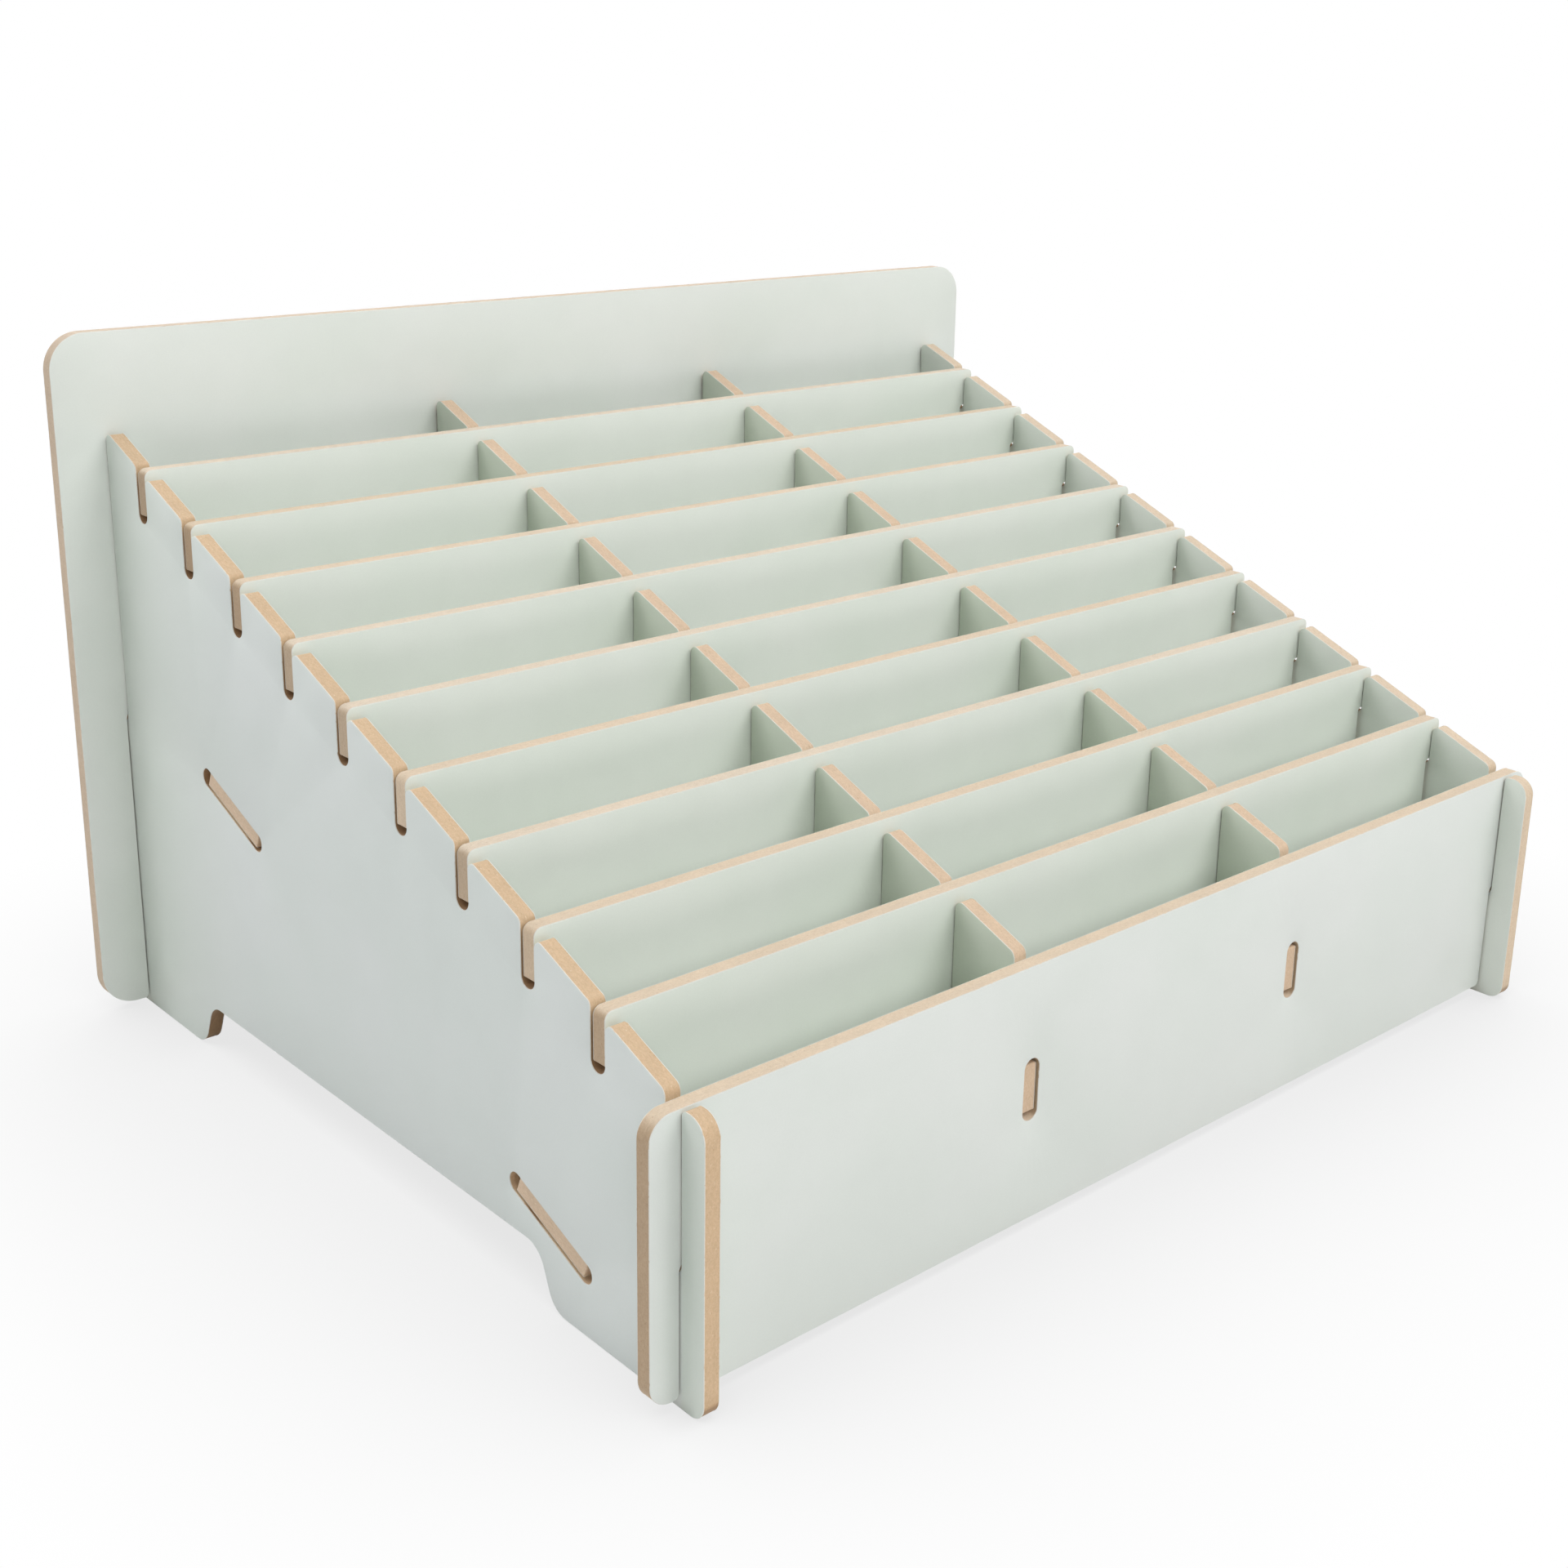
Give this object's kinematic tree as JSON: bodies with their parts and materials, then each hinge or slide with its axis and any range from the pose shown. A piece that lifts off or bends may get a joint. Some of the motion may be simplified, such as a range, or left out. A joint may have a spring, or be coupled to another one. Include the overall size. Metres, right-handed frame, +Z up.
{
  "type": "paint rack organizer",
  "caption": "Desktop hobby rack of slotted laminated boards: a sloped block of narrow open compartments between two notched side panels, a low front panel and a tall back panel.",
  "frame": {"origin": "on the ground under the middle of the bounding box", "axes": "+X to the right seen from the front, +Y to the back, +Z up; the slope rises towards +Y"},
  "size_m": [0.239, 0.1882, 0.137],
  "materials": {
    "laminated_board": "pale mint-white satin laminate on both faces, raw routed tan fibreboard on the edges"
  },
  "bodies": {
    "rack": {"left_side_panel": "laminated_board", "right_side_panel": "laminated_board", "front_panel": "laminated_board", "back_panel": "laminated_board", "floor_board": "laminated_board", "long_divider_left": "laminated_board", "long_divider_right": "laminated_board"},
    "divider_1": {"cross_divider_1": "laminated_board"},
    "divider_2": {"cross_divider_2": "laminated_board"},
    "divider_3": {"cross_divider_3": "laminated_board"},
    "divider_4": {"cross_divider_4": "laminated_board"},
    "divider_5": {"cross_divider_5": "laminated_board"},
    "divider_6": {"cross_divider_6": "laminated_board"},
    "divider_7": {"cross_divider_7": "laminated_board"},
    "divider_8": {"cross_divider_8": "laminated_board"},
    "divider_9": {"cross_divider_9": "laminated_board"}
  },
  "joints": [
    {"name": "lift_out_1", "type": "slide", "parent": "rack", "child": "divider_1", "axis": [0, 0, 1], "range_m": [0, 0.05]},
    {"name": "lift_out_2", "type": "slide", "parent": "rack", "child": "divider_2", "axis": [0, 0, 1], "range_m": [0, 0.05]},
    {"name": "lift_out_3", "type": "slide", "parent": "rack", "child": "divider_3", "axis": [0, 0, 1], "range_m": [0, 0.05]},
    {"name": "lift_out_4", "type": "slide", "parent": "rack", "child": "divider_4", "axis": [0, 0, 1], "range_m": [0, 0.05]},
    {"name": "lift_out_5", "type": "slide", "parent": "rack", "child": "divider_5", "axis": [0, 0, 1], "range_m": [0, 0.05]},
    {"name": "lift_out_6", "type": "slide", "parent": "rack", "child": "divider_6", "axis": [0, 0, 1], "range_m": [0, 0.05]},
    {"name": "lift_out_7", "type": "slide", "parent": "rack", "child": "divider_7", "axis": [0, 0, 1], "range_m": [0, 0.05]},
    {"name": "lift_out_8", "type": "slide", "parent": "rack", "child": "divider_8", "axis": [0, 0, 1], "range_m": [0, 0.05]},
    {"name": "lift_out_9", "type": "slide", "parent": "rack", "child": "divider_9", "axis": [0, 0, 1], "range_m": [0, 0.05]}
  ]
}
